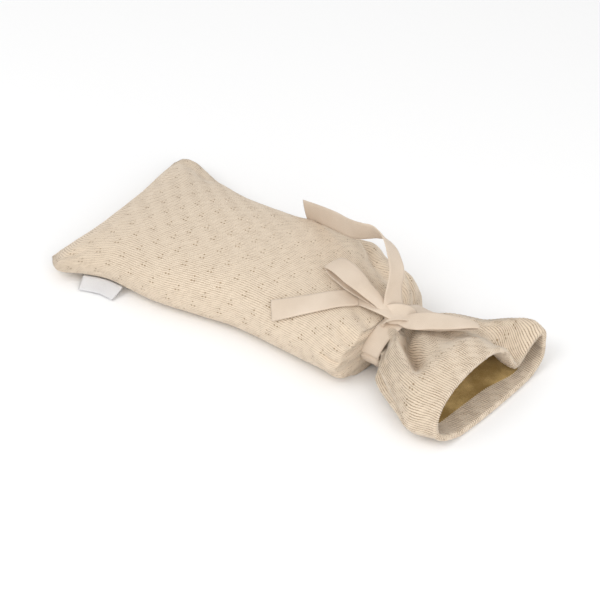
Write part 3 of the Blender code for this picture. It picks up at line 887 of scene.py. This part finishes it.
SHORT_TAIL = (
    (271, -4.3, 42.7, 0.4, -1, -0.05),
    (263, -5.5, 45.3, 0.5, -1, -0.1),
    (255, -5, 46.2, 0.6, -1, -0.12),
    (246, -3.8, 46, 0.7, -0.8, -0.13),
    (239, -4.8, 44.6, 0.72, -0.7, -0.14),
    (234.6, -12, 45.9, 0.73, -0.66, -0.17),
    (229.6, -18.6, 46.6, 0.72, -0.68, -0.18),
    (222.3, -27, 45.6, 0.67, -0.71, -0.24),
    (211.6, -36.4, 42.6, 0.68, -0.67, -0.33),
    (203, -42.3, 39.5, 0.69, -0.61, -0.42),
    (194, -47, 35.8, 0.63, -0.55, -0.55),
)
LONG_TAIL = (
    (272, -2, 42.5, 0.6, 0.8, 0),
    (267.5, 0.2, 44, 0.5, 0.85, -0.05),
    (264.8, 2.4, 46.4, 0.4, 0.88, -0.15),
    (263, 4.2, 50, 0.3, 0.9, -0.28),
    (262, 6.4, 56, 0.2, 0.9, -0.4),
    (260.8, 10.4, 63, 0.18, 0.88, -0.46),
    (258, 14.5, 68, 0.2, 0.85, -0.5),
    (253, 18.5, 72.3, 0.22, 0.8, -0.6),
    (246, 23.5, 76, 0.22, 0.7, -0.7),
    (239, 27, 77.8, 0.18, 0.6, -0.78),
    (232, 29, 77.8, 0.15, 0.5, -0.85),
    (226, 29.6, 76.6, 0, 0.4, -0.95),
    (219, 29.6, 74, -0.1, 0.3, -1),
    (210, 31, 70, -0.15, 0.2, -1),
    (199, 35, 64.8, -0.2, 0.15, -1),
    (180, 44, 57, -0.2, 0.1, -1),
    (159.5, 52, 49, -0.22, 0.1, -1),
    (140, 58.5, 41.5, -0.25, 0.1, -1),
)

STEPS_A_STOP = 8
TAPE_COLUMNS = 13
TAPE_EDGE = 0.45
PINCH_REACH = 0.17


def woven(name, light, dark, pitch, roughness):
    """A flat woven cloth: a slanting twill on fine threads, from the strap map in millimetres."""
    material, tree, shader, place, fibres = new_cloth(
        name, fibre_scale=2200.0, roughness=roughness, sheen=0.15, sheen_roughness=0.5)
    maths = Maths(tree)
    across, along, _ = maths.split(place.outputs["UV"])
    turn = 2 * math.pi / pitch
    twill = maths.sine(maths('ADD', across, along), turn)
    threads = maths.sine(along, 2.4 * turn)
    weave = maths('ADD', maths.times(twill, 0.35), maths.times(threads, 0.15))
    shade = maths.line(weave, base=fibres.outputs["Mottle"], gain=0.6)
    colour = mixed(tree, maths.soft_step(shade, 0.25, 0.75), dark, light)
    tree.links.new(colour, shader.inputs["Base Color"])
    threaded = bumped(tree, weave, distance=0.2 * MM, strength=0.5)
    fuzzy = bumped(tree, fibres.outputs["Fibres"], 0.2 * MM, 0.25, threaded)
    tree.links.new(fuzzy, shader.inputs["Normal"])
    return material


def route_through(stops):
    """Rows of middle and width direction along a smooth curve through the stops."""
    rows = np.array(stops, float)
    rows = np.concatenate([rows[:1], rows, rows[-1:]])
    share = (np.arange(STEPS_A_STOP) / STEPS_A_STOP)[:, None]
    route = []
    for before, first, last, after in zip(rows, rows[1:], rows[2:], rows[3:]):
        route.append(0.5 * (2 * first + (last - before) * share
                            + (2 * before - 5 * first + 4 * last - after) * share ** 2
                            + (3 * first - before - 3 * last + after) * share ** 3))
    return np.concatenate([*route, rows[-1:]])


def unit(vectors):
    return vectors / np.linalg.norm(vectors, axis=-1, keepdims=True)


def closed_mesh(name, points, uvs, material):
    """A closed piece from a grid of points: its doubles merged and its faces turned outwards."""
    mesh = cloth_mesh(name, points, uvs, around=True)
    shell = bmesh.new()
    shell.from_mesh(mesh)
    bmesh.ops.remove_doubles(shell, verts=shell.verts, dist=0.01 * MM)
    bmesh.ops.recalc_face_normals(shell, faces=shell.faces)
    shell.to_mesh(mesh)
    shell.free()
    mesh.shade_smooth()
    return show(name, mesh, material)


def strap(name, route, width, thickness, material, cupped=0.0, ends=(1.0, 1.0), pinch=0.0,
          runs=(14, 14)):
    """A closed strap along a route: its two faces, thinner edges and both ends.

    Cupped is how far its middle stands off its edges. At its ends it narrows to a share of its
    width, over a run of steps. The pinch is how much of the width is drawn in to one edge where a
    loop turns back.
    """
    middle, wide = route[:, :3], unit(route[:, 3:])
    ahead = unit(np.gradient(middle, axis=0))
    wide = unit(wide - ahead * np.sum(wide * ahead, axis=1, keepdims=True))
    face = np.cross(ahead, wide)
    across = np.linspace(-1, 1, TAPE_COLUMNS)
    loop = np.concatenate([across, across[::-1]])
    side = np.repeat([0.5, -0.5], TAPE_COLUMNS)
    side[np.abs(loop) == 1] *= TAPE_EDGE
    rows = []
    count = len(route)
    turn_at = np.argmax(np.abs(middle[:, 0] - middle[0, 0])) / count
    for index in range(count):
        thick = thickness * min(1, index, count - 1 - index)
        taper = np.interp(index, [0, runs[0], count - 1 - runs[1], count - 1],
                          [ends[0], 1, 1, ends[1]])
        drawn = pinch * math.exp(-((index / count - turn_at) / PINCH_REACH) ** 2)
        reach = (loop * (1 - drawn) + drawn) * width / 2 * taper
        rows.append(middle[index] + wide[index] * reach[:, None]
                    + face[index] * (side * thick + cupped * (1 - loop ** 2))[:, None])
    length = np.concatenate([[0], np.cumsum(np.linalg.norm(np.diff(middle, axis=0), axis=1))])

    def uvs(row, column):
        place = column % (2 * TAPE_COLUMNS)
        columns = np.minimum(place, 2 * TAPE_COLUMNS - 1 - place) / (TAPE_COLUMNS - 1)
        return np.stack([columns * width, length[row]], axis=-1)

    return closed_mesh(name, np.stack(rows), uvs, material)


TAPE = woven("cotton tape", TAPE_LIGHT, TAPE_DARK, pitch=0.9, roughness=0.8)


def declare_tape(piece):
    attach(piece, "root")
    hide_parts("ribbon_tie")


# Each tape's route, how far it is cupped, its narrowed ends, its pinch and the runs of its ends.
for tape_name, stops, cupped, ends, pinch, runs in (
        ("bow_left_loop", LEFT_LOOP, -1.0, (0.32, 0.5), 0.0, (34, 20)),
        ("bow_right_loop", RIGHT_LOOP, -0.5, (0.5, 0.5), 0.74, (18, 18)),
        ("bow_short_tail", SHORT_TAIL, 0.4, (0.6, 1.0), 0.0, (20, 1)),
        ("bow_long_tail", LONG_TAIL, 0.5, (0.7, 1.0), 0.0, (14, 1))):
    piece = strap(tape_name, route_through(stops), TAPE_WIDTH, TAPE_THICKNESS, TAPE, cupped,
                  ends, pinch, runs)
    declare_tape(piece)


BAND_GIRTHS = 220
BAND_COLUMNS = 9
BAND_LIFT = 2.5
BAND_FLARE = 0.4
BAND_THINNED = 0.6
BAND_CREASE_AT = 0.004
BAND_CREASE_REACH = 0.0085
BAND_CREASE_DEPTH = 1.6
BAND_OFF_SURFACE = 0.3
FINE_COLUMN = 0.8


def neck_band():
    """The tape drawn round the neck: a smooth ring over the gathers, creased on the near side."""
    girths = np.arange(BAND_GIRTHS) / BAND_GIRTHS
    _, near, far, crown, side, under, _ = SECTIONS[SECTIONS[:, 0] == NECK_AT][0]
    cosine, sine, half, tall, out = round_section(near, far, crown, side, under, girths)
    away = (girths - BAND_CREASE_AT + 0.5) % 1.0 - 0.5
    crease = -BAND_CREASE_DEPTH * np.exp(-(away / BAND_CREASE_REACH) ** 2)
    faces = []
    for way in (1, -1):
        rings = []
        for share in np.linspace(-0.5, 0.5, BAND_COLUMNS):
            edge = 1 - BAND_THINNED * abs(2 * share) ** 6
            lift = (BAND_LIFT + BAND_FLARE * (2 * share) ** 2 + crease
                    + way * edge * TAPE_THICKNESS / 2)
            rings.append(np.stack([
                NECK_AT + share * TAPE_WIDTH + NECK_LEAN * sine - NECK_SKEW * cosine,
                (far + near) / 2 - half * cosine + out[0] * lift,
                np.maximum(side + tall * sine + out[1] * lift, BAND_OFF_SURFACE)], axis=-1))
        faces.append(np.stack(rings))
    points = np.concatenate([faces[0], faces[1][::-1], faces[0][:1]])

    def uvs(row, column):
        columns = np.minimum(row, 2 * BAND_COLUMNS - 1 - row)
        return np.stack([columns * TAPE_WIDTH / (BAND_COLUMNS - 1), column * FINE_COLUMN], axis=-1)

    return closed_mesh("bow_neck_band", points, uvs, TAPE)


declare_tape(neck_band())

KNOT_WRAP = (
    (264.8, -8.6, 37, 0.6, -0.76, -0.3),
    (264, -9, 40.6, 0.6, -0.76, -0.35),
    (266.4, -7.2, 44.6, 0.6, -0.76, -0.35),
    (272, -2.8, 46.4, 0.6, -0.76, -0.3),
    (278.2, 2, 45.2, 0.6, -0.76, -0.25),
    (282.4, 5.4, 42.4, 0.6, -0.76, -0.2),
    (283, 5.8, 39.4, 0.6, -0.76, -0.2),
)
KNOT_WIDTH = 14.0
KNOT_AT = (272.5, -2.5, 40.6)
KNOT_SIZE = (18, 12, 7)
KNOT_TURN = 38.0
KNOT_ROWS = 21
KNOT_COLUMNS = 64
KNOT_BLUNT = 3.5


def knot_core():
    """What the knot is drawn round: the folded tape crossing under the outer turn."""
    angles = np.arange(KNOT_COLUMNS) / KNOT_COLUMNS * 2 * math.pi
    turn = math.radians(KNOT_TURN)
    rows = []
    for share in np.linspace(-1, 1, KNOT_ROWS):
        drawn = max(1 - abs(share) ** KNOT_BLUNT, 0.0) ** 0.5
        crease = 1 - 0.05 * np.cos(3 * angles + 1.5 * share) - 0.03 * np.cos(7 * angles - share)
        along = share * KNOT_SIZE[0] / 2 * np.ones_like(angles)
        across = np.cos(angles) * drawn * crease * KNOT_SIZE[1] / 2
        up = np.sin(angles) * drawn * crease * KNOT_SIZE[2] / 2
        rows.append(np.stack([KNOT_AT[0] + along * math.cos(turn) - across * math.sin(turn),
                              KNOT_AT[1] + along * math.sin(turn) + across * math.cos(turn),
                              KNOT_AT[2] + up], axis=-1))

    def uvs(row, column):
        return np.stack([row * 0.7, column * FINE_COLUMN], axis=-1)

    return closed_mesh("bow_knot", np.stack(rows), uvs, TAPE)


knot_piece = knot_core()
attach(knot_piece, "root")
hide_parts("ribbon_tie")
wrap = strap("bow_knot_wrap", route_through(KNOT_WRAP), KNOT_WIDTH, TAPE_THICKNESS, TAPE,
             cupped=2.0, ends=(0.85, 0.6))
declare_tape(wrap)

# ---- Label ----
# A bare white woven label, folded in two and caught in the near side seam, leaning down to the
# surface.

LABEL_SEAM = (33, 65)
LABEL_GIRTH = 0.945
LABEL_OFF_KNIT = 1.0
LABEL_FREE_SHIFT = (1.5, -12.5, 0.0)
LABEL_FREE_HEIGHT = 1.2
LABEL_THICKNESS = 1.0
LABEL_LIGHT = (0.80, 0.79, 0.79)
LABEL_DARK = (0.73, 0.72, 0.725)


def label():
    """The label's strap from the seam to its free edge, and its free width."""
    seam = bag_points(np.linspace(*LABEL_SEAM, 26), LABEL_GIRTH, -LABEL_OFF_KNIT)
    free = seam + np.array(LABEL_FREE_SHIFT)
    free[:, 2] = LABEL_FREE_HEIGHT
    route = np.concatenate([(seam + free) / 2, free - seam], axis=1)
    width = float(np.linalg.norm(free - seam, axis=1).mean())
    cloth = woven("woven label", LABEL_LIGHT, LABEL_DARK, pitch=0.5, roughness=0.5)
    return strap("label_tab", route, width, LABEL_THICKNESS, cloth), width


label_piece, label_width = label()
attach(label_piece, "root")
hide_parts("label")

# ---- Surface, light and camera ----
# A pale floor under soft studio light, seen from the near side of the mouth end. Sizes and places
# here are metres.

FLOOR_REACH = 4.0
FLOOR_AT = -0.0005
LIGHTS_TOWARDS = Vector((0.0, 0.0, 0.02))
WORLD_STRENGTH = 0.78


def plain_floor():
    mesh = bpy.data.meshes.new("floor")
    mesh.from_pydata([(FLOOR_REACH * x, FLOOR_REACH * y, FLOOR_AT)
                      for x, y in ((-1, -1), (1, -1), (1, 1), (-1, 1))], [], [(0, 1, 2, 3)])
    material = bpy.data.materials.new("pale floor")
    material.use_nodes = True
    shader = material.node_tree.nodes["Principled BSDF"]
    shader.inputs["Base Color"].default_value = (0.99, 0.99, 0.99, 1.0)
    shader.inputs["Roughness"].default_value = 0.9
    floor = show("floor", mesh, material)


def soft_light(name, at, size, power):
    lamp = bpy.data.lights.new(name, 'AREA')
    lamp.shape = 'DISK'
    lamp.size = size
    lamp.energy = power
    holder = bpy.data.objects.new(name, lamp)
    holder.location = at
    holder.rotation_mode = 'QUATERNION'
    holder.rotation_quaternion = (LIGHTS_TOWARDS - Vector(at)).to_track_quat('-Z', 'Y')
    bpy.context.scene.collection.objects.link(holder)


def studio():
    world = bpy.data.worlds.new("studio")
    world.use_nodes = True
    backdrop = world.node_tree.nodes["Background"]
    backdrop.inputs["Color"].default_value = (1.0, 1.0, 1.0, 1.0)
    backdrop.inputs["Strength"].default_value = WORLD_STRENGTH
    bpy.context.scene.world = world
    bpy.context.scene.view_settings.view_transform = 'Standard'
    soft_light("key light", at=(-0.35, -0.95, 1.3), size=1.1, power=6.8)
    soft_light("fill light", at=(1.1, -0.5, 0.6), size=1.0, power=5.4)


CAMERA_AZIMUTH = 38.86
CAMERA_ELEVATION = 37.93
CAMERA_DISTANCE = 1.505
CAMERA_LENS = 121.47
CAMERA_TARGET = (-0.00005, 0.01022, 0.0)


def photo_camera():
    azimuth, elevation = math.radians(CAMERA_AZIMUTH), math.radians(CAMERA_ELEVATION)
    back = Vector((math.sin(azimuth) * math.cos(elevation),
                   -math.cos(azimuth) * math.cos(elevation), math.sin(elevation)))
    lens = bpy.data.cameras.new("camera")
    lens.lens = CAMERA_LENS
    lens.sensor_width = 36.0
    lens.clip_start = 0.05
    camera = bpy.data.objects.new("camera", lens)
    camera.location = Vector(CAMERA_TARGET) + back * CAMERA_DISTANCE
    camera.rotation_mode = 'QUATERNION'
    camera.rotation_quaternion = (-back).to_track_quat('-Z', 'Y')
    bpy.context.scene.collection.objects.link(camera)
    bpy.context.scene.camera = camera


plain_floor()
studio()
photo_camera()
